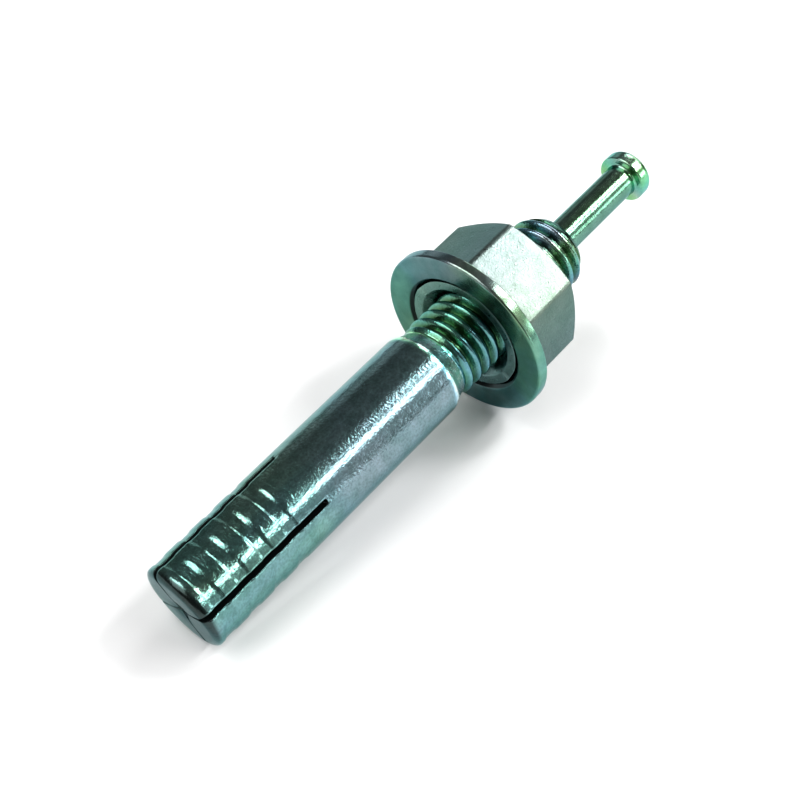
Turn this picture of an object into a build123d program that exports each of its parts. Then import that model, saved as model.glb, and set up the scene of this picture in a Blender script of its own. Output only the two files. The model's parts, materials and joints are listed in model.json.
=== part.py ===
from build123d import *
import math
import os

# Sizes are in millimetres. A station is a distance along the anchor's axis, measured from the slit end.

# One-piece body: split shank below, threaded stud above
body_length = 50.6
shank_radius = 4.2
shoulder_station = 30.8
shoulder_length = 1.5
shoulder_edge_radius = 0.3
stud_step = 0.3
run_out_depth = 0.3
stud_start_bevel = 0.25
stud_end_bevel_length = 1.3
stud_end_bevel_height = 0.85

# Rounded end that the four legs are pinched into
end_curve_length = 0.8
end_curve_height = 0.9

# Four saw slits that make the legs
slit_top_station = 14.6
slit_width = 0.57
slit_taper_station = 1.2
slit_face_width = 0.14
slit_angle = 58.3

# Shallow flat grooves rolled round the legs
groove_count = 4
groove_pitch = 2.88
groove_first_station = 1.14
groove_floor_width = 0.85
groove_lower_wall = 0.28
groove_upper_wall = 0.48
groove_depth = 0.1
groove_floor_rise = 0.02

# Bore for the drive pin, closing to a point where the legs meet
pin_clearance = 0.05
bore_cone_station = 4.55
bore_cone_length = 3.2
bore_mouth_chamfer = 0.2

# Drive pin
pin_radius = 1.65
pin_stand_out = 10.9
pin_nose_gap = 0.15
pin_nose_length = 0.8
pin_nose_step = 0.5
pin_neck_radius = 0.3
head_overhang = 0.85
head_height = 1.6
head_under_bevel = 0.15
head_top_edge = 0.65

# Hexagon nut with the collar that keeps the washer
nut_height = 7.0
nut_across_flats = 13.0
nut_chamfer_angle = 24.0
nut_face_share = 0.95
nut_thread_clearance = 0.05
nut_angle = -2.6
nut_mouth_chamfer = 0.3
collar_cone_length = 1.2
collar_cone_height = 0.9
collar_wall = 0.65
collar_lip = 0.35
collar_lip_length = 0.45
collar_recess = 0.15

# Captive washer, loose on the nut's collar
washer_face_station = 36.7
washer_thickness = 1.1
washer_play = 0.15
washer_width = 3.05
washer_edge_radius = 0.22
washer_countersink = 0.65
nut_washer_gap = 0.35

stud_radius = shank_radius - stud_step
stud_root_radius = stud_radius - run_out_depth
bore_radius = pin_radius + pin_clearance
pin_tip_station = bore_cone_station + pin_nose_gap + pin_stand_out
head_under_station = body_length + pin_stand_out
head_radius = pin_radius + head_overhang
nut_bore_radius = stud_radius + nut_thread_clearance
collar_mouth_radius = nut_bore_radius + collar_cone_height
collar_radius = collar_mouth_radius + collar_wall
collar_end_station = washer_face_station + collar_recess
washer_hole_radius = collar_radius + washer_play
washer_radius = washer_hole_radius + washer_width
washer_top_station = washer_face_station + washer_thickness
nut_seat_station = washer_top_station + nut_washer_gap
nut_top_station = nut_seat_station + nut_height


def spun(outline):
    """Turn a closed outline, drawn as station and radius, about the anchor's axis."""
    return revolve(make_face(Wire(outline)), Axis.X)


def closed(points):
    """Straight outline through the points and back to the first."""
    return Polyline(*points, close=True).edges()


def end_curve():
    """Quarter ellipse from the flat of the slit end to the side of the shank."""
    centre = (end_curve_length, shank_radius - end_curve_height)
    return EllipticalCenterArc(centre, end_curve_length, end_curve_height, start_angle=90, arc_size=90)


def groove_points():
    """Walls and floors of the grooves along the side of the legs; each floor rises a little to its upper wall."""
    floor_radius = shank_radius - groove_depth
    points = []
    for index in range(groove_count):
        start = groove_first_station + index * groove_pitch
        floor_start = start + groove_lower_wall
        floor_end = floor_start + groove_floor_width
        points.append((start, shank_radius))
        points.append((floor_start, floor_radius))
        points.append((floor_end, floor_radius + groove_floor_rise))
        points.append((floor_end + groove_upper_wall, shank_radius))
    return points


def body_blank():
    """Outside of the body, turned in one outline."""
    rounded_end = end_curve()
    shoulder_end = shoulder_station + shoulder_length
    stud_start = shoulder_end + stud_start_bevel
    bevel_start = body_length - stud_end_bevel_length
    stud_end_radius = stud_radius - stud_end_bevel_height
    side = Polyline(
        rounded_end @ 0,
        *groove_points(),
        (shoulder_station, shank_radius),
        (shoulder_end, stud_root_radius),
        (stud_start, stud_radius),
        (bevel_start, stud_radius),
        (body_length, stud_end_radius),
        (body_length, 0),
        (0, 0),
        rounded_end @ 1,
    )
    blank = spun([rounded_end, *side.edges()])
    corner = [edge for edge in blank.edges().filter_by(GeomType.CIRCLE)
              if abs(edge.arc_center.X - shoulder_station) < 0.01 and edge.radius > shank_radius - 0.01]
    return fillet(corner, shoulder_edge_radius)


def pin_bore():
    """Hole for the drive pin, with its mouth and its closing cone."""
    tip = bore_cone_station - bore_cone_length
    return spun(closed([
        (tip, 0),
        (bore_cone_station, bore_radius),
        (body_length - bore_mouth_chamfer, bore_radius),
        (body_length, bore_radius + bore_mouth_chamfer),
        (body_length + 1, bore_radius + bore_mouth_chamfer),
        (body_length + 1, 0),
    ]))


def slit_pair():
    """Two slits across one diameter, narrowing to hairlines over the rounded end."""
    half = slit_width / 2
    outline = Polyline(
        (slit_top_station, -half),
        (slit_top_station, half),
        (slit_taper_station, half),
        (0.1, slit_face_width / 2),
        (-1, slit_face_width / 2),
        (-1, -slit_face_width / 2),
        (0.1, -slit_face_width / 2),
        (slit_taper_station, -half),
        close=True,
    )
    return extrude(make_face(outline), shank_radius + 1, both=True)


def anchor_body():
    cross = slit_pair() + Rot(90, 0, 0) * slit_pair()
    return Rot(slit_angle, 0, 0) * (body_blank() - pin_bore() - cross)


def drive_pin():
    """Headed pin that stands out of the stud until it is hammered home."""
    top = head_under_station + head_height
    pin = spun(closed([
        (pin_tip_station, 0),
        (pin_tip_station, pin_radius - pin_nose_step),
        (pin_tip_station + pin_nose_length, pin_radius),
        (head_under_station, pin_radius),
        (head_under_station, head_radius - head_under_bevel),
        (head_under_station + head_under_bevel, head_radius),
        (top, head_radius),
        (top, 0),
    ]))
    pin = fillet(ring_edges(pin, head_under_station, pin_radius), pin_neck_radius)
    return fillet(ring_edges(pin, top, head_radius), head_top_edge)


def ring_edges(solid, station, radius):
    """Round edges of the solid at one station and one radius."""
    rings = solid.edges().filter_by(GeomType.CIRCLE)
    return [ring for ring in rings
            if abs(ring.arc_center.X - station) < 0.01 and abs(ring.radius - radius) < 0.01]


def captive_washer():
    sunk = washer_hole_radius + washer_countersink
    washer = spun(closed([
        (washer_face_station, sunk),
        (washer_face_station, washer_radius),
        (washer_top_station, washer_radius),
        (washer_top_station, washer_hole_radius),
        (washer_face_station + washer_countersink, washer_hole_radius),
    ]))
    return fillet(ring_edges(washer, washer_face_station, washer_radius), washer_edge_radius)


def nut_hexagon():
    """Hexagon prism whose top corners are turned off by a cone."""
    plane = Plane(origin=(nut_seat_station, 0, 0), x_dir=(0, 0, 1), z_dir=(1, 0, 0))
    prism = extrude(plane * RegularPolygon(nut_across_flats / 2, 6, major_radius=False), nut_height)
    flat_radius = nut_face_share * nut_across_flats / 2
    rim_radius = nut_across_flats
    drop = (rim_radius - flat_radius) * math.tan(math.radians(nut_chamfer_angle))
    envelope = spun(closed([
        (nut_seat_station, 0),
        (nut_seat_station, rim_radius),
        (nut_top_station - drop, rim_radius),
        (nut_top_station, flat_radius),
        (nut_top_station, 0),
    ]))
    return prism & envelope


def nut_collar():
    """Neck through the washer, with the lip that is staked outwards under it."""
    return spun(closed([
        (nut_seat_station + 1, 0),
        (nut_seat_station + 1, collar_radius),
        (collar_end_station + collar_lip_length, collar_radius),
        (collar_end_station, collar_radius + collar_lip),
        (collar_end_station, 0),
    ]))


def hex_nut():
    bore = spun(closed([
        (collar_end_station - 1, 0),
        (collar_end_station - 1, collar_mouth_radius),
        (collar_end_station, collar_mouth_radius),
        (collar_end_station + collar_cone_length, nut_bore_radius),
        (nut_top_station - nut_mouth_chamfer, nut_bore_radius),
        (nut_top_station, nut_bore_radius + nut_mouth_chamfer),
        (nut_top_station + 1, nut_bore_radius + nut_mouth_chamfer),
        (nut_top_station + 1, 0),
    ]))
    return Rot(nut_angle, 0, 0) * (nut_hexagon() + nut_collar() - bore)


def height_excess(tilt):
    """How much deeper the slit end reaches than the washer's rim, at a tilt of the axis."""
    sine, cosine = math.sin(tilt), math.cos(tilt)
    ellipse_reach = math.hypot(end_curve_length * sine, end_curve_height * cosine)
    end_depth = (shank_radius - end_curve_height) * cosine - end_curve_length * sine + ellipse_reach
    rim_station = washer_face_station + washer_edge_radius
    rim_depth = (washer_radius - washer_edge_radius) * cosine - rim_station * sine + washer_edge_radius
    return end_depth - rim_depth


def resting_tilt():
    """Tilt at which the slit end and the washer's rim both touch the floor."""
    low, high = 0.0, math.pi / 4
    for _ in range(60):
        middle = (low + high) / 2
        if height_excess(middle) < 0:
            low = middle
        else:
            high = middle
    return (low + high) / 2


def laid_down(pieces):
    """The pieces as the anchor lies: the head end raised, the box centred on the origin and on the floor."""
    tilt = resting_tilt()
    tilted = {name: Rot(0, -math.degrees(tilt), 0) * piece for name, piece in pieces.items()}
    box = Compound(list(tilted.values())).bounding_box()
    shift = (-(box.min.X + box.max.X) / 2, -(box.min.Y + box.max.Y) / 2, -box.min.Z)
    print("tilt", round(math.degrees(tilt), 4), "slit end centre at", [round(value, 4) for value in shift])
    print("box", box.size)
    return {name: Pos(*shift) * piece for name, piece in tilted.items()}


os.makedirs("parts", exist_ok=True)
anchor = laid_down({
    "anchor_body": anchor_body(),
    "drive_pin": drive_pin(),
    "captive_washer": captive_washer(),
    "hex_nut": hex_nut(),
})
for name, piece in anchor.items():
    export_step(piece, f"parts/{name}.step")
    print(name, "volume", round(piece.volume, 2), "solids", len(piece.solids()))
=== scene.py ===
import json
import math

import bmesh
import bpy
import numpy as np
from mathutils import Matrix, Vector


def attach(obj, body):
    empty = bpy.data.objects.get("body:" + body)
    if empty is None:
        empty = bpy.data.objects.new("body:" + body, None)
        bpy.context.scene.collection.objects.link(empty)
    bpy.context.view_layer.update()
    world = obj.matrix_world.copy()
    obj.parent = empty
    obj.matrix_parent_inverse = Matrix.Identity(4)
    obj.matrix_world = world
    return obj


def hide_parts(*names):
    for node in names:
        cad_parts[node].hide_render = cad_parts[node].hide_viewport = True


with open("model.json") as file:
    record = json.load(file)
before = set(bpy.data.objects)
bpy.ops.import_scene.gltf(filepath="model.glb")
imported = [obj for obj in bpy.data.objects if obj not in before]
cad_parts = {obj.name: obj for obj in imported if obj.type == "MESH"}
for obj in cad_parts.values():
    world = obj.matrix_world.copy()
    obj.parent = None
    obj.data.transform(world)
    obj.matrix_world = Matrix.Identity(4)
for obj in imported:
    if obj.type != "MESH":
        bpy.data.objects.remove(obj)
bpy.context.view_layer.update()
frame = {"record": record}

# The anchor lies on the floor with its axis raised. Its pieces are drawn along X in millimetres,
# x being the distance from the slit end, and laid down once their mesh is closed.
millimetre = 0.001
headTop = 63.1  # station of the face that the hammer strikes
headMount = next(m for m in frame["record"]["mounts"] if m["name"] == "pin_head")
axisWay = Vector(headMount["axis"]).normalized()
slitEnd = Vector(headMount["pos_m"]) - axisWay * (headTop * millimetre)
layTurn = Matrix((axisWay, (0, 1, 0), axisWay.cross(Vector((0, 1, 0))))).transposed()
layMatrix = Matrix.Translation(slitEnd) @ layTurn.to_4x4() @ Matrix.Scale(millimetre, 4)

fullTurn = 2 * math.pi
quarterTurn = math.pi / 2
tiny = 1e-6


def ringPoints(station, radius, angle):
    station, radius, angle = np.broadcast_arrays(station, radius, angle)
    return np.stack([station, radius * np.sin(angle), radius * np.cos(angle)], -1)


def gridPart(points):  # points: rows x columns x 3, joined row to row
    rows, columns = points.shape[:2]
    index = np.arange(rows * columns).reshape(rows, columns)
    faces = np.stack([index[:-1, :-1], index[:-1, 1:], index[1:, 1:], index[1:, :-1]], -1)
    return points.reshape(-1, 3), faces.reshape(-1, 4).tolist()


def softened(points, cuts, steps=4, closed=True):  # corners of an outline replaced by short curves
    points = [np.array(p, float) for p in points]
    out = []
    for i, p in enumerate(points):
        if cuts[i] <= 0 or (not closed and i in (0, len(points) - 1)):
            out.append(p)
            continue
        before, after = points[i - 1] - p, points[(i + 1) % len(points)] - p
        before = before / np.linalg.norm(before) * cuts[i]
        after = after / np.linalg.norm(after) * cuts[i]
        for t in np.linspace(0, 1, steps + 1):
            out.append(p + (1 - t) ** 2 * before + t ** 2 * after)
    return np.array(out)


def bridgePart(first, firstAngles, second, secondAngles):  # triangles between rings of different columns
    i, j, faces = 0, 0, []
    while i + 1 < len(first) or j + 1 < len(second):
        secondDone = j + 1 == len(second)
        if secondDone or (i + 1 < len(first) and firstAngles[i + 1] <= secondAngles[j + 1]):
            faces.append([i, i + 1, len(first) + j])
            i += 1
        else:
            faces.append([i, len(first) + j + 1, len(first) + j])
            j += 1
    return np.vstack([first, second]), faces


def turnedPart(outline, segments):  # closed outline of station and radius, spun about the axis
    if outline[0, 1] > 0:  # a section that starts on the axis needs no last side
        outline = np.vstack([outline, outline[:1]])
    angles = np.linspace(0, fullTurn, segments + 1)
    return gridPart(ringPoints(outline[:, :1], outline[:, 1:2], angles[None, :]))


def rawMesh(name, parts):
    points, faces, start = [], [], 0
    for partPoints, partFaces in parts:
        points.append(np.asarray(partPoints, float))
        faces += [[i + start for i in f] for f in partFaces]
        start += len(partPoints)
    mesh = bpy.data.meshes.new(name)
    mesh.from_pydata(np.vstack(points).tolist(), [], faces)
    return mesh


def partOf(mesh):
    points = np.zeros(len(mesh.vertices) * 3)
    mesh.vertices.foreach_get("co", points)
    return points.reshape(-1, 3), [list(p.vertices) for p in mesh.polygons]


def storeField(mesh, label, numbers):  # one number for each point, read by the nodes
    field = mesh.attributes.new(label, "FLOAT", "POINT")
    field.data.foreach_set("value", np.asarray(numbers, np.float32))


def newObject(name, data):
    holder = bpy.data.objects.new(name, data)
    bpy.context.scene.collection.objects.link(holder)
    return holder


weld = {"distance": 0.0008, "shortEdge": 0.0004, "smallArea": 1e-9}


def closedPiece(name, parts, material, sharpAngle, slitShade=None):  # one welded mesh, laid on the floor
    mesh = rawMesh(name, parts)
    work = bmesh.new()
    work.from_mesh(mesh)
    bmesh.ops.remove_doubles(work, verts=work.verts, dist=weld["distance"])
    bmesh.ops.dissolve_degenerate(work, dist=weld["shortEdge"], edges=work.edges)
    slivers = [f for f in work.faces if f.calc_area() < weld["smallArea"]]
    bmesh.ops.delete(work, geom=slivers, context="FACES_ONLY")
    bmesh.ops.recalc_face_normals(work, faces=work.faces)
    openEdges = sum(1 for e in work.edges if len(e.link_faces) != 2)
    bmesh.ops.triangulate(work, faces=[f for f in work.faces if len(f.verts) > 4])
    work.to_mesh(mesh)
    work.free()
    if slitShade:
        storeField(mesh, "slitShade", slitShade(partOf(mesh)[0]))
    mesh.transform(layMatrix)
    mesh.materials.append(material)
    mesh.shade_smooth()
    mesh.set_sharp_from_angle(angle=math.radians(sharpAngle))
    triangles = sum(len(p.vertices) - 2 for p in mesh.polygons)
    print(name, "triangles", triangles, "open edges", openEdges)
    return newObject(name, mesh)


def addNode(tree, kind, inputs=None, **settings):  # inputs take a value or a socket to link
    node = tree.nodes.new(kind)
    for label, value in settings.items():
        setattr(node, label, value)
    for key, value in (inputs or {}).items():
        if isinstance(value, bpy.types.NodeSocket):
            tree.links.new(value, node.inputs[key])
        else:
            node.inputs[key].default_value = value
    return node


def calc(tree, kind, *values):
    return addNode(tree, "ShaderNodeMath", dict(enumerate(values)), operation=kind).outputs[0]


def chained(tree, kind, *values):  # one sum or product over several values
    result = values[0]
    for value in values[1:]:
        result = calc(tree, kind, result, value)
    return result


def remap(tree, value, fromLow, fromHigh, toLow=0.0, toHigh=1.0):
    inputs = {"Value": value, "From Min": fromLow, "From Max": fromHigh, "To Min": toLow, "To Max": toHigh}
    return addNode(tree, "ShaderNodeMapRange", inputs).outputs[0]


def newTree(name, inputs):
    tree = bpy.data.node_groups.new(name, "GeometryNodeTree")
    tree.interface.new_socket("Geometry", in_out="INPUT", socket_type="NodeSocketGeometry")
    for label, kind, value in inputs:
        socket = tree.interface.new_socket(label, in_out="INPUT", socket_type=kind)
        if value is not None:
            socket.default_value = value
    tree.interface.new_socket("Geometry", in_out="OUTPUT", socket_type="NodeSocketGeometry")
    return tree, tree.nodes.new("NodeGroupInput").outputs


def finishTree(tree, geometry, material):  # what every tree ends in
    real = addNode(tree, "GeometryNodeRealizeInstances", {"Geometry": geometry})
    inputs = {"Geometry": real.outputs[0], "Material": material}
    finish = addNode(tree, "GeometryNodeSetMaterial", inputs)
    addNode(tree, "NodeGroupOutput", {"Geometry": finish.outputs[0]})


def bakedByNodes(name, mesh, tree, values):  # runs the tree on the mesh and returns a plain mesh
    carrier = newObject(name, mesh)
    modifier = carrier.modifiers.new("rule", "NODES")
    modifier.node_group = tree
    for item in tree.interface.items_tree:
        if item.item_type == "SOCKET" and item.in_out == "INPUT" and item.name in values:
            modifier[item.identifier] = values[item.name]
    bpy.context.view_layer.update()
    evaluated = carrier.evaluated_get(bpy.context.evaluated_depsgraph_get())
    result = bpy.data.meshes.new_from_object(evaluated)
    carrier.modifiers.clear()
    bpy.data.objects.remove(carrier)
    return result


# Blue-green zinc plating. The colour is a dark grey-green metal under a clear film, which turns
# green, blue, lilac and yellow-green by its thickness. Textures use millimetres along the anchor.
filmColors = [
    (0.0, (0.34, 1.0, 0.74)), (0.22, (0.36, 0.80, 1.0)), (0.46, (0.86, 0.78, 1.0)),
    (0.6, (1.0, 0.92, 0.80)), (0.78, (0.72, 1.0, 0.42)), (1.0, (0.34, 1.0, 0.74)),
]
alongSpan = 65.0  # a stop at 1 in a ramp along the anchor is this far from the slit end
reachSpan = 10.0  # and in a ramp across it, this far from the axis


def ramp(tree, value, stops):
    node = addNode(tree, "ShaderNodeValToRGB", {"Fac": value})
    while len(node.color_ramp.elements) < len(stops):
        node.color_ramp.elements.new(0.5)
    for element, (position, color) in zip(node.color_ramp.elements, stops):
        element.position = position
        element.color = (*(color if isinstance(color, tuple) else (color, color, color)), 1)
    return node.outputs["Color"]


def mixColor(tree, kind, amount, first, second):
    inputs = {0: amount, 6: first, 7: second}
    for key in (6, 7):
        if isinstance(inputs[key], tuple):
            inputs[key] = (*inputs[key], 1)
    return addNode(tree, "ShaderNodeMix", inputs, data_type="RGBA", blend_type=kind).outputs[2]


def tinted(tree, color, tint, amount=1.0):
    return mixColor(tree, "MULTIPLY", amount, color, tint)


def noise(tree, where, scale, detail=2, stretch=(1, 1, 1), roughness=0.5, distortion=0.0):
    squeezed = addNode(tree, "ShaderNodeMapping", {"Vector": where, "Scale": stretch})
    inputs = {
        "Vector": squeezed.outputs[0], "Scale": scale, "Detail": detail,
        "Roughness": roughness, "Distortion": distortion,
    }
    return addNode(tree, "ShaderNodeTexNoise", inputs).outputs["Fac"]


def anchorPlace(tree):  # where a point lies on the anchor, in millimetres from the slit end
    inputs = {
        "Vector": addNode(tree, "ShaderNodeTexCoord").outputs["Object"], "Location": slitEnd,
        "Rotation": layTurn.to_euler(), "Scale": (millimetre, millimetre, millimetre),
    }
    where = addNode(tree, "ShaderNodeMapping", inputs, vector_type="TEXTURE").outputs[0]
    station, side, lift = addNode(tree, "ShaderNodeSeparateXYZ", {0: where}).outputs
    across = addNode(tree, "ShaderNodeVectorMath", {0: where, 1: (0, 1, 1)}, operation="MULTIPLY").outputs[0]
    return {
        "where": where,
        "station": station,
        "along": calc(tree, "DIVIDE", station, alongSpan),
        "angle": calc(tree, "ARCTAN2", side, lift),
        "reach": addNode(tree, "ShaderNodeVectorMath", {0: across}, operation="LENGTH").outputs["Value"],
    }


def filmTint(tree, place, look):  # colour of the film, by its thickness at this place
    turned = calc(tree, "ADD", place["angle"], look["filmTurn"])
    share = ramp(tree, place["along"], look["filmAround"])
    swing = chained(tree, "MULTIPLY", turned, look["filmSwing"], share)
    onStud = calc(tree, "GREATER_THAN", place["station"], look["studFrom"])
    raised = calc(tree, "SUBTRACT", place["reach"], look["studCore"])
    height = chained(tree, "MULTIPLY", raised, look["filmHeight"], onStud)
    cloud = noise(tree, place["where"], look["filmScale"], 2, look["filmStretch"], 0.5, 0.4)
    drift = calc(tree, "MULTIPLY", calc(tree, "SUBTRACT", cloud, 0.5), look["filmDrift"])
    start = ramp(tree, place["along"], look["filmStart"])
    thickness = chained(tree, "ADD", swing, height, drift, start)
    color = ramp(tree, calc(tree, "FRACT", thickness), filmColors)
    return mixColor(tree, "MIX", ramp(tree, place["along"], look["filmShare"]), look["plainTint"], color)


def zincColor(tree, place, look):
    cloud = noise(tree, place["where"], look["cloudScale"], 4)
    color = ramp(tree, cloud, list(zip(look["cloudEdges"], (look["dark"], look["light"]))))
    color = tinted(tree, color, filmTint(tree, place, look))
    fine = noise(tree, place["where"], look["grainScale"], 3, roughness=0.65)
    color = tinted(tree, color, ramp(tree, fine, look["speckStops"]), look["speck"])
    # painted light and shade along the anchor: a ramp by station darkens or brightens the colour
    if "paintedLightAlong" in look:
        color = tinted(tree, color, ramp(tree, place["along"], look["paintedLightAlong"]))
    # painted light and shade by distance from the axis
    if "paintedLightByReach" in look:
        reached = calc(tree, "DIVIDE", place["reach"], reachSpan)
        color = tinted(tree, color, ramp(tree, reached, look["paintedLightByReach"]))
    if "rootPaintedShade" in look:  # painted shade: thread roots are darkened, as if in shadow
        deep = remap(tree, place["reach"], *look["rootReach"], 0.0, look["rootPaintedShade"])
        onThread = calc(tree, "GREATER_THAN", place["station"], look["rootFrom"])
        color = tinted(tree, color, look["rootShadeTint"], calc(tree, "MULTIPLY", deep, onThread))
    return color


def zincHeight(tree, place, look):  # fine relief of the plating, in millimetres
    where = place["where"]
    grain = calc(tree, "MULTIPLY", noise(tree, where, look["grainScale"], 2), look["grainDepth"])
    swell = calc(tree, "MULTIPLY", noise(tree, where, look["swellScale"], 2), look["swellDepth"])
    lines = noise(tree, where, look["lineScale"], 2, look["lineStretch"], 0.4)
    height = chained(tree, "ADD", grain, swell, calc(tree, "MULTIPLY", lines, look["lineDepth"]))
    if "rumple" in look:  # the legs are a little uneven between the rolled grooves
        share = ramp(tree, place["along"], look["rumpleShare"])
        dents = noise(tree, where, look["rumpleScale"], 2, look["rumpleStretch"], 0.5, 0.3)
        height = calc(tree, "ADD", height, chained(tree, "MULTIPLY", share, dents, look["rumple"]))
    return height


def zincMaterial(name, look):
    material = bpy.data.materials.new(name)
    material.use_nodes = True
    tree = material.node_tree
    shader = tree.nodes["Principled BSDF"]
    settings = {
        "Metallic": 1.0, "Specular Tint": (*look["edgeTint"], 1), "Coat Weight": look["clear"],
        "Coat IOR": look["clearIor"], "Coat Roughness": look["clearRough"],
    }
    for label, value in settings.items():
        shader.inputs[label].default_value = value
    place = anchorPlace(tree)
    color = zincColor(tree, place, look)
    patches = noise(tree, place["where"], look["roughScale"], 3)
    rough = remap(tree, patches, *look["roughEdges"], *look["rough"])
    if "slitShade" in look:  # painted shade: the walls inside the slits are near black, as if in shadow, and rougher
        slitShade = addNode(tree, "ShaderNodeAttribute", attribute_name="slitShade").outputs["Fac"]
        color = mixColor(tree, "MIX", slitShade, color, look["slitShade"])
        rough = calc(tree, "ADD", rough, calc(tree, "MULTIPLY", slitShade, look["slitShadeRough"]))
    inputs = {"Height": zincHeight(tree, place, look), "Strength": 1.0, "Distance": millimetre}
    bump = addNode(tree, "ShaderNodeBump", inputs).outputs[0]
    links = {"Base Color": color, "Roughness": rough, "Normal": bump, "Coat Normal": bump}
    for label, socket in links.items():
        tree.links.new(socket, shader.inputs[label])
    return material


sharedZinc = {
    "plainTint": (0.90, 0.95, 1.0), "edgeTint": (0.46, 0.66, 0.68),
    "filmTurn": 0.24, "filmSwing": -0.48, "filmScale": 0.22, "filmStretch": (0.35, 1, 1),
    "filmDrift": 0.7, "filmHeight": 0.0, "studFrom": 32.4, "studCore": 3.6,
    "cloudScale": 0.7, "cloudEdges": (0.32, 0.68),
    "grainScale": 7.0, "speck": 0.5, "speckStops": [(0.36, 0.45), (0.6, 1.0)],
    "rough": (0.13, 0.20), "roughScale": 2.2, "roughEdges": (0.3, 0.7),
    "clearRough": 0.18, "clearIor": 1.8,  # the clear film's own white shine
    "swellScale": 0.9, "swellDepth": 0.012,
    "lineScale": 5.0, "lineStretch": (0.1, 1, 1), "lineDepth": 0.002,
}
bodyLook = {
    **sharedZinc, "dark": (0.165, 0.255, 0.25), "light": (0.265, 0.355, 0.37),
    "speck": 0.6, "grainScale": 4.5, "grainDepth": 0.02, "rough": (0.15, 0.23), "clear": 0.22,
    # painted shade: near-black colour for the slit walls, as if in shadow
    "slitShade": (0.012, 0.016, 0.016), "slitShadeRough": 0.5,
    # painted shade in the thread roots, with its colour
    "rootPaintedShade": 0.9, "rootFrom": 32.6, "rootReach": (3.85, 3.4), "rootShadeTint": (0.12, 0.26, 0.1),
    "rumple": 0.035, "rumpleScale": 1.7, "rumpleStretch": (1.5, 0.6, 0.6),
    "rumpleShare": [(0.0, 0.0), (0.02, 1.0), (0.19, 1.0), (0.205, 0.0)],
    # painted light: the end face is darkened as painted shade, the shoulder made seven times brighter as a
    # painted reflection
    "paintedLightAlong": [
        (0.0, 0.12), (0.0075, 0.12), (0.0125, 1.05), (0.2, 1.05), (0.215, 1.02),
        (0.468, 1.0), (0.476, 7.0), (0.495, 7.0), (0.5, 1.25),
    ],
    "filmHeight": 0.4, "filmDrift": 0.8,
    "filmStart": [
        (0.0, 0.98), (0.20, 0.97), (0.27, 1.10), (0.46, 1.10), (0.472, 0.97),
        (0.50, 0.95), (0.505, 0.92), (0.68, 0.93), (0.70, 0.42),
    ],
    "filmAround": [
        (0.0, 0.08), (0.2, 0.1), (0.28, 0.4), (0.468, 0.4), (0.474, 0.85),
        (0.496, 0.85), (0.503, 0.1), (0.68, 0.1), (0.70, 1.2),
    ],
    "filmShare": [
        (0.0, 0.3), (0.02, 0.6), (0.2, 0.5), (0.26, 0.25),
        (0.465, 0.25), (0.474, 1.0), (0.497, 1.0), (0.505, 0.85),
    ],
}
washerLook = {
    **sharedZinc, "dark": (0.09, 0.175, 0.15), "light": (0.16, 0.26, 0.225),
    "speck": 0.2, "grainDepth": 0.005, "swellDepth": 0.008, "rough": (0.18, 0.26), "clear": 0.2,
    # painted shade: the hole and its countersink are nearly black, as in the gap's shadow; painted highlight:
    # the rim is made brighter
    "paintedLightByReach": [(0.0, 0.08), (0.622, 0.08), (0.632, 1.0), (0.852, 1.0), (0.866, (1.75, 1.4, 1.5))],
    "filmStart": [(0.0, 0.1), (1.0, 1.0)], "filmAround": [(0.0, 0.1), (1.0, 1.0)],
    "filmShare": [(0.0, 0.25), (1.0, 1.0)],
}
nutLook = {
    **sharedZinc, "dark": (0.125, 0.165, 0.148), "light": (0.165, 0.20, 0.187),
    "plainTint": (0.98, 1.0, 0.98), "speck": 0.45, "grainScale": 6.0, "grainDepth": 0.02, "swellDepth": 0.006,
    "rough": (0.26, 0.34), "clear": 0.12, "filmDrift": 0.12,
    # painted light: the collar is brightened, and the neck between washer and nut darkened as painted shade
    "paintedLightAlong": [(0.0, 1.5), (0.572, 1.5), (0.58, 0.7), (0.586, 0.7), (0.592, 1.0)],
    "filmStart": [(0.0, 0.1), (0.58, 0.1), (0.59, 0.43)],
    "filmAround": [(0.0, 0.1), (0.58, 0.1), (0.59, 1.0)],
    "filmShare": [(0.0, 0.5), (0.58, 0.5), (0.59, 0.2)],
}
pinLook = {
    **sharedZinc, "dark": (0.12, 0.24, 0.155), "light": (0.19, 0.33, 0.235),
    "grainDepth": 0.01, "swellDepth": 0.02, "clear": 0.2,
    # painted highlight: the head is made brighter
    "paintedLightAlong": [(0.0, 1.0), (0.925, 1.0), (0.94, 1.8)],
    "filmStart": [(0.0, 0.72), (0.92, 0.72), (0.95, 0.64)],
    "filmAround": [(0.0, 0.5), (1.0, 1.0)],
    "filmShare": [(0.0, 0.4), (0.92, 0.4), (0.95, 0.75)],
}
bodyZinc = zincMaterial("bodyZinc", bodyLook)
washerZinc = zincMaterial("washerZinc", washerLook)
nutZinc = zincMaterial("nutZinc", nutLook)
pinZinc = zincMaterial("pinZinc", pinLook)
print("materials made")

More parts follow.
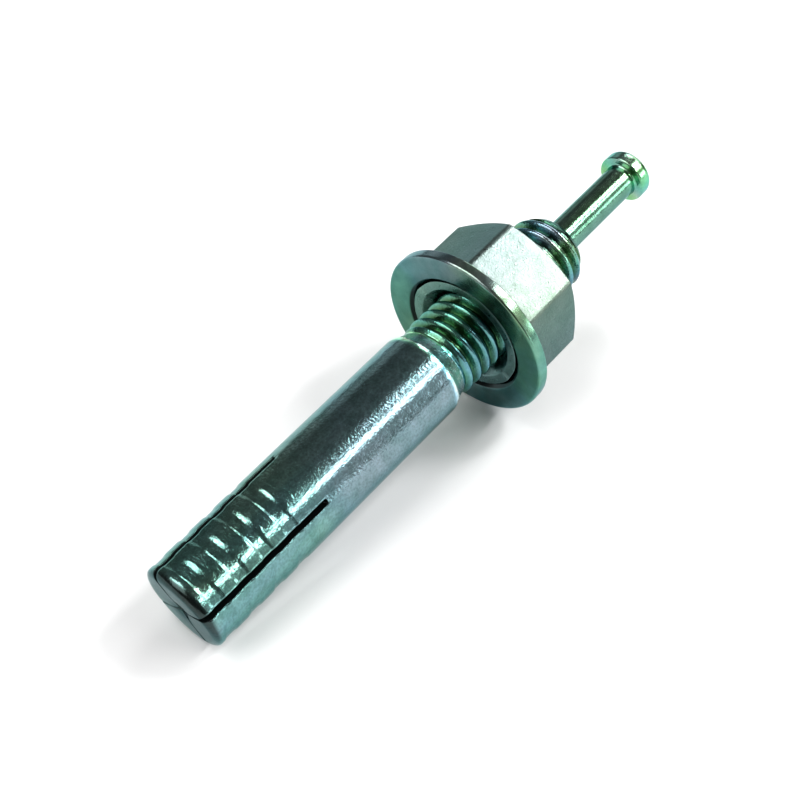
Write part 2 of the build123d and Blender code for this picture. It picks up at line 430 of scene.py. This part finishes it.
# Body: four legs split by crossed saw cuts, plain shank, shoulder, threaded stud, bore for the pin.
body = {
    "length": 50.6, "radius": 4.2, "edge": 0.05,
    "shoulder": 30.8, "shoulderEnd": 32.3, "shoulderCut": 0.35, "neckRadius": 3.6,
    "legs": 4, "slitAngle": math.radians(-58.3), "slitTop": 14.6, "slitHalf": 0.285, "slitRound": 0.1,
    "slitHalves": [(1.5, 0.1), (3.0, 0.16), (4.3, 0.285)],  # by the way from the end's middle
    "endLength": 0.8, "endHeight": 0.9, "dish": 0.3, "dishWidth": 0.9,
    "lean": 0.1, "leanWay": math.radians(-30.4), "leanFrom": 3.6, "leanLength": 1.1,
    "boreRadius": 1.7, "boreCone": (1.35, 4.55), "boreRows": (20.0, 36.0),
    "mouth": [(0.22, 0.0), (0.04, 0.14), (0.0, 0.24)],  # below the end face, and how much wider
    "faceSteps": [(0.07, 0.06), (0.0, 0.16), (0.0, 0.5), (0.0, 0.9)],  # sag, and share of the way in
    "legColumns": 36, "slitColumns": 4, "boreColumns": 12, "wallShares": (0, 0.5, 0.93, 1),
    "faceStart": 0.16, "faceRows": 8, "endRows": 12, "rowStep": 0.3, "topGap": 0.32,
    "plainRows": 12, "plainGaps": (0.3, 0.4), "slitShadeDepth": 0.04, "slitShadeSlack": 0.02,
}
groove = {
    "start": 1.14, "pitch": 2.88, "count": 4, "lowerWall": 0.28, "floor": 0.85, "upperWall": 0.48,
    "depth": 0.085, "fadeFrom": 3.2, "fade": 0.9, "firstRow": 0.87, "lastRow": 11.6, "rowStep": 0.1,
}


def softStep(x):
    x = np.clip(x, 0, 1)
    return x * x * (3 - 2 * x)


def wallStep(x, soft=0.2):  # straight wall with short curves at its ends
    x = np.clip(x, 0, 1)
    curve = 2 * soft * (1 - soft)
    upper = np.where(x > 1 - soft, 1 - (1 - x) ** 2 / curve, (x - soft / 2) / (1 - soft))
    return np.where(x < soft, x * x / curve, upper)


def grooveDepth(station):
    depth = np.zeros_like(station)
    for k in range(groove["count"]):
        s = station - groove["start"] - k * groove["pitch"]
        down = wallStep(s / groove["lowerWall"])
        up = wallStep((s - groove["lowerWall"] - groove["floor"]) / groove["upperWall"])
        depth = np.maximum(depth, groove["depth"] * (down - up))
    return depth


def endShift(points, station):  # the sheared end leans, its far side standing back
    near = points[:, 1] * math.sin(body["leanWay"]) + points[:, 2] * math.cos(body["leanWay"])
    back = np.maximum(body["lean"] * (body["leanFrom"] - near), 0)
    return back * np.clip(1 - station / body["leanLength"], 0, 1)


def dishDepth(radius):  # shallow dish in the middle of the end face
    return body["dish"] * np.exp(-(radius / body["dishWidth"]) ** 2)


def legRows():  # outside of a leg from the middle of the end face to the top of the slits
    faceRadius = body["radius"] - body["endHeight"]
    face = np.linspace(body["faceStart"], faceRadius, body["faceRows"] + 1)[:-1]
    turn = np.linspace(0, quarterTurn, body["endRows"] + 1)
    endStations = body["endLength"] * (1 - np.cos(turn))
    endRadii = faceRadius + body["endHeight"] * np.sin(turn)
    stations = [groove["firstRow"]]
    topRow = body["slitTop"] - body["slitRound"]
    while stations[-1] < topRow - body["topGap"]:
        inGrooves = stations[-1] < groove["lastRow"]
        stations.append(stations[-1] + (groove["rowStep"] if inGrooves else body["rowStep"]))
    side = np.array(stations + [topRow])
    rows = np.vstack([
        np.stack([dishDepth(face), face], -1),
        np.stack([endStations, endRadii], -1),
        np.stack([side, np.full_like(side, body["radius"])], -1),
    ])
    rows[:, 1] -= grooveDepth(rows[:, 0]) * softStep((rows[:, 1] - groove["fadeFrom"]) / groove["fade"])
    return rows


def legLoop(station, radius, inStation, w, e):  # one row: slit wall, outside, other wall, bore
    coneLow, coneHigh = body["boreCone"]
    coneRadius = body["boreRadius"] * min(1, max(0, (inStation - coneLow) / (coneHigh - coneLow)))
    inRadius = max(coneRadius, w * math.sqrt(2) + 0.001)
    outer = math.sqrt(radius ** 2 - (w + e) ** 2)  # height of the rounded slit edge
    pinched = inRadius <= w * 1.5  # past the tip of the bore the two walls meet
    inner = w if pinched else math.sqrt(inRadius ** 2 - w ** 2)
    wall = [(w, inner + (outer - e - inner) * f, f) for f in body["wallShares"]]
    corner = [(w + e * (1 - math.cos(a)), outer - e + e * math.sin(a), 1.0) for a in (0.5, 1.05)]
    start = math.atan2(w + e, outer)
    turns = np.linspace(start, quarterTurn - start, body["legColumns"] + 1)
    arc = [(radius * math.sin(a), radius * math.cos(a), 1.0) for a in turns]
    back = [(z, y, f) for y, z, f in reversed(wall + corner)]
    inStart = math.atan2(w, inner)
    inTurns = np.linspace(quarterTurn - inStart, inStart, body["boreColumns"] + 1)[1:]
    inArc = [(inRadius * math.sin(a), inRadius * math.cos(a), 0.0) for a in inTurns]
    if pinched:
        inArc = [(w, w, 0.0)] * len(inTurns)
    loop = wall + corner + arc + back + inArc
    return [(inStation + (station - inStation) * f, y, z) for y, z, f in loop]


def legPart():
    rows = legRows()
    walked = np.concatenate([[0], np.cumsum(np.hypot(*np.diff(rows, axis=0).T))])
    halves = np.interp(walked, *np.transpose(body["slitHalves"]))
    edges = np.minimum(body["edge"], 0.2 * (rows[:, 1] - halves * math.sqrt(2)))
    edges[-2:] = body["edge"] * 0.5, 0.0002  # the rounded edge dies out at the top of the slit
    loops = []
    for j, (station, radius) in enumerate(rows):
        rise = min(1, j / 20) * (1 - min(1, station / body["boreCone"][1]))  # the bore's rows run ahead
        loops.append(legLoop(station, radius, station + rise, halves[j], edges[j]))
    points, faces = gridPart(np.array(loops))
    faces.append(list(range(len(loops[0]) - 1)))
    return points, faces


def legRing(leg):  # the leg copied round the axis
    tree, given = newTree("legRing", [
        ("Legs", "NodeSocketInt", body["legs"]),
        ("First Turn", "NodeSocketFloat", 0.0),
        ("Finish", "NodeSocketMaterial", None),
    ])
    spots = addNode(tree, "GeometryNodeMeshLine", {"Count": given["Legs"], "Offset": (0, 0, 0)})
    index = addNode(tree, "GeometryNodeInputIndex").outputs[0]
    step = calc(tree, "DIVIDE", -fullTurn, given["Legs"])
    turn = calc(tree, "MULTIPLY_ADD", index, step, given["First Turn"])
    turns = addNode(tree, "ShaderNodeCombineXYZ", {"X": turn}).outputs[0]
    around = addNode(tree, "FunctionNodeEulerToRotation", {0: turns}).outputs[0]
    inputs = {"Points": spots.outputs[0], "Instance": given["Geometry"], "Rotation": around}
    copies = addNode(tree, "GeometryNodeInstanceOnPoints", inputs)
    finishTree(tree, copies.outputs[0], given["Finish"])
    values = {"Legs": body["legs"], "First Turn": -body["slitAngle"], "Finish": bodyZinc}
    return bakedByNodes("legRing", rawMesh("leg", [leg]), tree, values)


def slitLift(offset):  # rounded top of a slit
    return body["slitTop"] - body["slitRound"] * (offset / body["slitHalf"]) ** 2


def ringColumns(radius, legColumns):  # angles and first stations: along each leg, then across each slit
    w = body["slitHalf"]
    start = math.asin(w / radius)
    cross = np.linspace(-w, w, body["slitColumns"] + 1)[:-1]
    angles, stations = [], []
    for k in range(body["legs"]):
        base = body["slitAngle"] + k * quarterTurn
        angles += list(base + np.linspace(start, quarterTurn - start, legColumns + 1))[:-1]
        angles += list(base + quarterTurn + np.arcsin(cross / radius))
        stations += [slitLift(w)] * legColumns + list(slitLift(cross))
    return np.array(angles + [angles[0] + fullTurn]), np.array(stations + stations[:1])


def slitTopPart(base):  # flat top of the slit at this angle
    w = body["slitHalf"]
    offsets = np.linspace(-w, w, body["slitColumns"] + 1)
    across = np.array([math.cos(base), -math.sin(base)])
    outward = np.array([math.sin(base), math.cos(base)])
    inner = np.sqrt(body["boreRadius"] ** 2 - offsets ** 2)
    outer = np.sqrt(body["radius"] ** 2 - offsets ** 2)
    grid = []
    for f in body["wallShares"]:
        height = inner * (1 - f) + outer * f
        flat = offsets[:, None] * across + height[:, None] * outward
        grid.append(np.column_stack([slitLift(offsets), flat]))
    return gridPart(np.array(grid))


def shankParts(angles, firstStations, boreAngles, boreStations):
    radius, bore = body["radius"], body["boreRadius"]
    lowGap, highGap = body["plainGaps"]
    plain = np.linspace(body["slitTop"] + lowGap, body["shoulder"] - highGap, body["plainRows"])
    shoulder = softened([
        (plain[0], radius), (body["shoulder"], radius), (body["shoulderEnd"], body["neckRadius"]),
    ], [0, body["shoulderCut"], 0], 6, closed=False)
    outside = [(firstStations, radius)] + [(s, radius) for s in plain] + list(shoulder[1:])
    inside = [(boreStations, bore)] + [(s, bore) for s in body["boreRows"]]
    inside += [(body["length"] - below, bore + wider) for below, wider in body["mouth"]]
    slitTops = [slitTopPart(body["slitAngle"] + (k + 1) * quarterTurn) for k in range(body["legs"])]
    return [
        gridPart(np.array([ringPoints(s, r, angles) for s, r in outside])),
        *slitTops,
        gridPart(np.array([ringPoints(s, r, boreAngles) for s, r in inside])),
    ]


# Helical thread: the mesh rows follow the helix, and the nodes raise them by the thread's own rule.
thread = {
    "pitch": 1.25, "major": 3.9, "depth": 0.6, "crestHalf": 0.15, "slope": 1.732, "soft": 0.06,
    "crestStation": 34.13, "rowsPerTurn": 14, "crowding": 0.09, "runOut": 0.9,
    "bevelLength": 1.3, "bevelHeight": 0.85, "endGap": 0.12,
}
threadFields = ("phase", "plain", "lowest", "highest", "fade")


def threadGrid(low, high, angles, limits):  # limits gives the other fields by station
    rows = thread["rowsPerTurn"]
    fine = (np.arange(rows) + 0.5) / rows
    phases = fine - thread["crowding"] * np.sin(fullTurn * fine) * np.cos(fullTurn * fine)
    firstTurn = math.floor((low - thread["crestStation"]) / thread["pitch"]) - 1
    lastTurn = math.ceil((high - thread["crestStation"]) / thread["pitch"]) + 1
    turns = np.arange(firstTurn, lastTurn + 1)
    allPhases = (turns[:, None] + phases[None, :]).ravel()
    base = thread["crestStation"] + allPhases * thread["pitch"]
    station = np.clip(base[:, None] - thread["pitch"] * angles[None, :] / fullTurn, low, high)
    used = [i for i in range(len(base) - 1) if station[i + 1].max() > low and station[i].min() < high]
    keep = sorted(set(used) | {i + 1 for i in used})
    mesh = rawMesh("thread", [gridPart(ringPoints(station[keep], 1.0, angles[None, :]))])
    phase = np.repeat(allPhases[keep], len(angles))
    for label, numbers in zip(threadFields, (phase, *limits(station[keep].ravel()))):
        storeField(mesh, label, numbers)
    return mesh


def threadTree():
    sizes = {
        "Pitch": thread["pitch"], "Major Radius": thread["major"], "Depth": thread["depth"],
        "Crest Half": thread["crestHalf"], "Slope": thread["slope"], "Soft": thread["soft"], "Gap": 0.0,
    }
    inputs = [(label, "NodeSocketFloat", size) for label, size in sizes.items()]
    tree, given = newTree("threadRelief", inputs + [("Finish", "NodeSocketMaterial", None)])
    stored = {}
    for label in threadFields:
        stored[label] = addNode(tree, "GeometryNodeInputNamedAttribute", {"Name": label}).outputs["Attribute"]
    phase = calc(tree, "FRACT", calc(tree, "ADD", stored["phase"], 0.5))
    swing = calc(tree, "ABSOLUTE", calc(tree, "SUBTRACT", phase, 0.5))
    fromCrest = calc(tree, "MULTIPLY", swing, given["Pitch"])
    drop = calc(tree, "MULTIPLY", calc(tree, "SUBTRACT", fromCrest, given["Crest Half"]), given["Slope"])
    drop = calc(tree, "SMOOTH_MAX", drop, 0.0, given["Soft"])
    drop = calc(tree, "SMOOTH_MIN", drop, given["Depth"], given["Soft"])
    raised = chained(tree, "SUBTRACT", given["Major Radius"], drop, stored["plain"])
    faded = calc(tree, "MULTIPLY_ADD", raised, stored["fade"], stored["plain"])
    radius = calc(tree, "ADD", faded, given["Gap"])
    radius = calc(tree, "MAXIMUM", calc(tree, "MINIMUM", radius, stored["highest"]), stored["lowest"])
    position = addNode(tree, "GeometryNodeInputPosition").outputs[0]
    x, y, z = addNode(tree, "ShaderNodeSeparateXYZ", {0: position}).outputs
    inputs = {"X": x, "Y": calc(tree, "MULTIPLY", y, radius), "Z": calc(tree, "MULTIPLY", z, radius)}
    out = addNode(tree, "ShaderNodeCombineXYZ", inputs).outputs[0]
    moved = addNode(tree, "GeometryNodeSetPosition", {"Geometry": given["Geometry"], "Position": out})
    finishTree(tree, moved.outputs[0], given["Finish"])
    return tree


threadRelief = threadTree()
studEnd = body["length"] - thread["endGap"]  # the helix's last circle


def studLimits(s):  # plain radius, lowest, highest and fade
    low, neck = body["shoulderEnd"], body["neckRadius"]
    bevel = np.clip((s - body["length"] + thread["bevelLength"]) / thread["bevelLength"], 0, 1)
    lowest = np.where(s <= low + tiny, neck, 0.0)
    highest = thread["major"] - thread["bevelHeight"] * bevel
    return np.full_like(s, neck), lowest, highest, softStep((s - low) / thread["runOut"])


def studEndPart(studPoints, angles, boreAngles):  # end face of the stud, down to the bore's mouth
    edge = studPoints[np.abs(studPoints[:, 0] - studEnd) < 1e-4]
    edgeAngle = np.arctan2(edge[:, 1], edge[:, 2])
    edgeRadius = np.hypot(edge[:, 1], edge[:, 2])
    nearest = [np.argmin(np.abs(np.angle(np.exp(1j * (edgeAngle - a))))) for a in angles]
    outer, inner = edgeRadius[nearest], body["boreRadius"] + body["mouth"][-1][1]
    rows = [ringPoints(studEnd, outer, angles)]
    for sag, share in body["faceSteps"]:
        rows.append(ringPoints(body["length"] - sag, outer * (1 - share) + inner * share, angles))
    mouth = ringPoints(body["length"], inner, boreAngles)
    return [gridPart(np.array(rows)), bridgePart(rows[-1], angles, mouth, boreAngles)]


def anchorBodyParts():
    angles, firstStations = ringColumns(body["radius"], body["legColumns"])
    boreAngles, boreStations = ringColumns(body["boreRadius"], body["boreColumns"])
    legPoints, legFaces = partOf(legRing(legPart()))
    legPoints[:, 0] += endShift(legPoints, legPoints[:, 0])
    grid = threadGrid(body["shoulderEnd"], studEnd, angles, studLimits)
    stud = partOf(bakedByNodes("stud", grid, threadRelief, {"Gap": 0.0, "Finish": bodyZinc}))
    return [
        *shankParts(angles, firstStations, boreAngles, boreStations),
        stud,
        (legPoints, legFaces),
        *studEndPart(stud[0], angles, boreAngles),
    ]


def slitShadeMask(points):  # 1 on the walls of the slits, a little below their edges, where shade is painted
    turned = np.arctan2(points[:, 1], points[:, 2]) - body["slitAngle"]
    radius = np.hypot(points[:, 1], points[:, 2])
    offset = radius * np.minimum(np.abs(np.sin(turned)), np.abs(np.cos(turned)))
    faceRadius = body["radius"] - body["endHeight"]
    curve = np.sqrt(np.clip(1 - ((radius - faceRadius) / body["endHeight"]) ** 2, 0, 1))
    front = np.where(radius > faceRadius, body["endLength"] * (1 - curve), 0)
    front = front + dishDepth(radius) + endShift(points, front)
    below = body["radius"] - grooveDepth(points[:, 0]) - radius
    depth = np.where(points[:, 0] > body["leanLength"], below, points[:, 0] - front)
    slack = body["slitShadeSlack"]
    inSlit = (offset < body["slitHalf"] + slack) & (points[:, 0] < body["slitTop"] + slack)
    return (inSlit & (depth > body["slitShadeDepth"])).astype(float)


bodyPiece = closedPiece("anchorBody", anchorBodyParts(), bodyZinc, 38, slitShadeMask)
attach(bodyPiece, "anchor")
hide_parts("anchor_body")
print("body made")

# Drive pin with its upset head.
pin = {
    "radius": 1.65, "tip": 15.6, "noseLength": 0.8, "noseStep": 0.5, "under": 61.52, "headRadius": 2.5,
    "cuts": [0, 0.1, 0.2, 0.26, 0.2, 0.7, 0], "segments": 128,
}
pinOutline = softened([
    (pin["tip"], 0), (pin["tip"], pin["radius"] - pin["noseStep"]),
    (pin["tip"] + pin["noseLength"], pin["radius"]), (pin["under"], pin["radius"]),
    (pin["under"], pin["headRadius"]), (headTop, pin["headRadius"]), (headTop, 0),
], pin["cuts"], 8)
pinPiece = closedPiece("drivePin", [turnedPart(pinOutline, pin["segments"])], pinZinc, 50)
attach(pinPiece, "pin")
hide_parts("drive_pin")
print("pin made")

# Captive washer, its rim rounded on the side of the fixture.
washer = {
    "face": 36.7, "top": 37.8, "radius": 8.7, "hole": 5.65, "sink": 0.65,
    "cuts": [0.12, 0.3, 0.12, 0.1, 0.1], "segments": 256,
}
washerOutline = softened([
    (washer["face"], washer["hole"] + washer["sink"]), (washer["face"], washer["radius"]),
    (washer["top"], washer["radius"]), (washer["top"], washer["hole"]),
    (washer["face"] + washer["sink"], washer["hole"]),
], washer["cuts"], 6)
washerPiece = closedPiece("captiveWasher", [turnedPart(washerOutline, washer["segments"])], washerZinc, 50)
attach(washerPiece, "washer")
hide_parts("captive_washer")
print("washer made")

# Hexagon nut: each column round it has its own outline, so the chamfer cuts true arcs into the flats.
nut = {
    "seat": 38.15, "top": 45.15, "flats": 6.5, "turn": math.radians(2.6), "cornerRound": 0.35,
    "chamfer": math.radians(24), "faceRadius": 6.16, "cuts": [0, 0.12, 0.12, 0.1, 0],
    "bore": 3.95, "mouth": 4.3, "cone": 1.2, "collarEnd": 36.85, "collarMouth": 4.85,
    "neck": 5.5, "lip": 5.85, "lipLength": 0.4, "collarCuts": [0, 0.1, 0.12, 0.1, 0],
    "stakeWay": math.radians(149.5), "stakeSoft": 0.06, "stakeLift": 0.14, "stakeSpread": 0.07,
    "stakeLength": 0.5, "stakeFrom": 5.0, "stakeFade": 0.7,
    "threadGap": 0.06, "threadRoot": 3.3, "open": 9.0, "perFlat": 30, "flatRows": 6, "crowding": 0.35,
}
flatTurn = math.pi / 3
threadStart = nut["collarEnd"] + nut["cone"]


def hexRadius(angle):  # hexagon with slightly rounded corners
    fromFlat = np.abs(np.mod(angle - nut["turn"], flatTurn) - flatTurn / 2)
    toCorner = flatTurn / 2 - fromFlat
    straight = nut["flats"] / np.cos(fromFlat)
    inset = nut["flats"] - nut["cornerRound"]
    centre = inset / math.cos(flatTurn / 2)
    bulge = nut["cornerRound"] ** 2 - (centre * np.sin(toCorner)) ** 2
    rounded = centre * np.cos(toCorner) + np.sqrt(np.maximum(bulge, 0))
    atCorner = nut["flats"] * np.tan(fromFlat) > inset * math.tan(flatTurn / 2)
    return np.where(atCorner, rounded, straight)


def hexColumns():
    share = np.linspace(0, 1, nut["perFlat"] + 1)[:-1]
    eased = share - nut["crowding"] * np.sin(fullTurn * share) / fullTurn
    sides = [nut["turn"] + (k + eased) * flatTurn for k in range(6)]
    return np.concatenate(sides + [[nut["turn"] + fullTurn]])


def hexagonPart(angles):
    columns = []
    for r in hexRadius(angles):
        drop = (r - nut["faceRadius"]) * math.tan(nut["chamfer"])
        outline = softened([
            (nut["seat"], nut["neck"]), (nut["seat"], r), (nut["top"] - drop, r),
            (nut["top"], nut["faceRadius"]), (nut["top"], nut["mouth"]),
        ], nut["cuts"], 4, closed=False)
        low, high = outline[5], outline[6]  # where the flat's two soft edges end
        between = [low + (high - low) * f for f in np.linspace(0, 1, nut["flatRows"] + 1)[1:-1]]
        columns.append(np.vstack([outline[:6], between, outline[6:]]))
    columns = np.array(columns).transpose(1, 0, 2)
    return gridPart(ringPoints(columns[..., 0], columns[..., 1], angles[None, :]))


def collarPart(angles):  # one side of the collar was staked harder
    collar = softened([
        (threadStart, nut["bore"]), (nut["collarEnd"], nut["collarMouth"]), (nut["collarEnd"], nut["lip"]),
        (nut["collarEnd"] + nut["lipLength"], nut["neck"]), (nut["seat"], nut["neck"]),
    ], nut["collarCuts"], 4, closed=False)
    turned = np.cos(angles - nut["stakeWay"])
    slack = 1 - softStep((turned + nut["stakeSoft"]) / (2 * nut["stakeSoft"]))[None, :]
    nearEnd = softStep(1 - (collar[:, 0] - nut["collarEnd"]) / nut["stakeLength"])[:, None]
    nearLip = softStep((collar[:, 1] - nut["stakeFrom"]) / nut["stakeFade"])[:, None]
    stations = collar[:, :1] + nut["stakeLift"] * nearEnd * slack
    radii = collar[:, 1:] - nut["stakeSpread"] * nearEnd * nearLip * slack
    stations[0], radii[0] = collar[0]  # the thread's first circle stays round
    return gridPart(ringPoints(stations, radii, angles[None, :]))


def nutLimits(s):  # plain radius, lowest, highest and fade
    cone = nut["bore"] - (nut["collarMouth"] - nut["bore"]) * (s - threadStart) / nut["cone"]
    lowest = np.maximum(np.maximum(cone, nut["threadRoot"]), nut["mouth"] - (nut["top"] - s))
    highest = np.where(s >= nut["top"] - tiny, nut["mouth"], nut["open"])
    highest = np.where(s <= threadStart + tiny, nut["bore"], highest)
    return np.full_like(s, nut["bore"]), lowest, highest, np.ones_like(s)


def hexNutParts():
    angles = hexColumns()
    grid = threadGrid(threadStart, nut["top"], angles, nutLimits)
    values = {"Gap": nut["threadGap"], "Finish": nutZinc}
    inside = partOf(bakedByNodes("nutThread", grid, threadRelief, values))
    return [hexagonPart(angles), collarPart(angles), inside]


nutPiece = closedPiece("hexNut", hexNutParts(), nutZinc, 34)
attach(nutPiece, "nut")
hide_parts("hex_nut")
print("nut made")

# Pale floor, white to the horizon, behind the lamps too: it glows from some way off the anchor.
floor = {"half": 12.0, "color": (0.93, 0.93, 0.93), "rough": 0.9, "shine": 0.1, "glow": (0.25, 0.7)}


def floorMaterial():
    material = bpy.data.materials.new("paleFloor")
    material.use_nodes = True
    tree = material.node_tree
    shader = tree.nodes["Principled BSDF"]
    settings = {
        "Base Color": (*floor["color"], 1), "Roughness": floor["rough"],
        "Specular IOR Level": floor["shine"], "Emission Color": (1, 1, 1, 1),
    }
    for label, value in settings.items():
        shader.inputs[label].default_value = value
    place = addNode(tree, "ShaderNodeTexCoord").outputs["Object"]
    away = addNode(tree, "ShaderNodeVectorMath", {0: place}, operation="LENGTH").outputs["Value"]
    tree.links.new(remap(tree, away, *floor["glow"]), shader.inputs["Emission Strength"])
    return material


def floorPlane():
    half = floor["half"]
    corners = [(-half, -half, 0), (half, -half, 0), (half, half, 0), (-half, half, 0)]
    mesh = bpy.data.meshes.new("studioFloor")
    mesh.from_pydata(corners, [], [(0, 1, 2, 3)])
    mesh.materials.append(floorMaterial())
    plane = newObject("studioFloor", mesh)


# Light boxes stand round the anchor. Each is placed by its angle about the anchor's axis, from
# above towards +Y, and by its lean towards the head, with its long side along the axis.
studio = {
    "world": 0.12, "distance": 0.55,
    "boxes": {  # angle, lean, spread in angle, spread in lean, radiance
        "keyBox": (-44, 27, 6, 44, 19.0),
        "dimBox": (-67, 27, 30, 60, 0.5),
        "topBox": (20, -26, 44, 58, 2.7),
        "headBox": (12, 66, 88, 26, 2.2),
        "nutBox": (-25, 38, 12, 16, 24.0),
        "sideBox": (75, 34, 24, 24, 0.42),
        "pinBox": (-80, 41, 16, 14, 8.0),
        "grooveBox": (25, 49, 32, 6, 11.0),
        "edgeBox": (-86, 14, 8, 9, 7.0),
        "wallBox": (22, -6, 30, 10, 6.0),
    },
}


def addWorld():
    world = bpy.context.scene.world or bpy.data.worlds.new("World")
    bpy.context.scene.world = world
    world.use_nodes = True
    background = world.node_tree.nodes["Background"]
    background.inputs["Color"].default_value = (1, 1, 1, 1)
    background.inputs["Strength"].default_value = studio["world"]


def addBox(name, angle, lean, wide, long, radiance):
    angle, lean, wide, long = (math.radians(v) for v in (angle, lean, wide, long))
    side, lift = layTurn.col[1], layTurn.col[2]
    way = (side * math.sin(angle) + lift * math.cos(angle)) * math.cos(lean) + axisWay * math.sin(lean)
    along = (axisWay - way * axisWay.dot(way)).normalized()
    lamp = bpy.data.lights.new(name, "AREA")
    lamp.shape = "RECTANGLE"
    lamp.size = 2 * studio["distance"] * math.tan(wide / 2) * math.cos(lean)
    lamp.size_y = 2 * studio["distance"] * math.tan(long / 2)
    lamp.energy = radiance * math.pi * lamp.size * lamp.size_y
    turn = Matrix((along.cross(way), along, way)).transposed().to_4x4()
    newObject(name, lamp).matrix_world = Matrix.Translation(way * studio["distance"]) @ turn


# The photograph's camera, in millimetres along, across and above the anchor's axis.
photoView = {
    "place": (-33.61, -62.90, 106.89), "look": (0.44246, 0.45340, -0.77373),
    "lift": (0.62819, 0.45904, 0.62822), "sensor": 36, "lens": 70.78, "clip": (0.005, 20),
}


def addCamera():
    data = bpy.data.cameras.new("photoCamera")
    data.sensor_width = photoView["sensor"]
    data.lens = photoView["lens"]
    data.clip_start, data.clip_end = photoView["clip"]
    camera = newObject("photoCamera", data)
    place, look, lift = (Vector(photoView[n]) for n in ("place", "look", "lift"))
    turn = Matrix((look.cross(lift), lift, -look)).transposed()
    camera.matrix_world = Matrix.Translation(layMatrix @ place) @ (layTurn @ turn).to_4x4()
    bpy.context.scene.camera = camera


floorPlane()
addWorld()
for name, box in studio["boxes"].items():
    addBox(name, *box)
addCamera()
bpy.context.scene.view_settings.view_transform = "Standard"
print("floor, light and camera made")
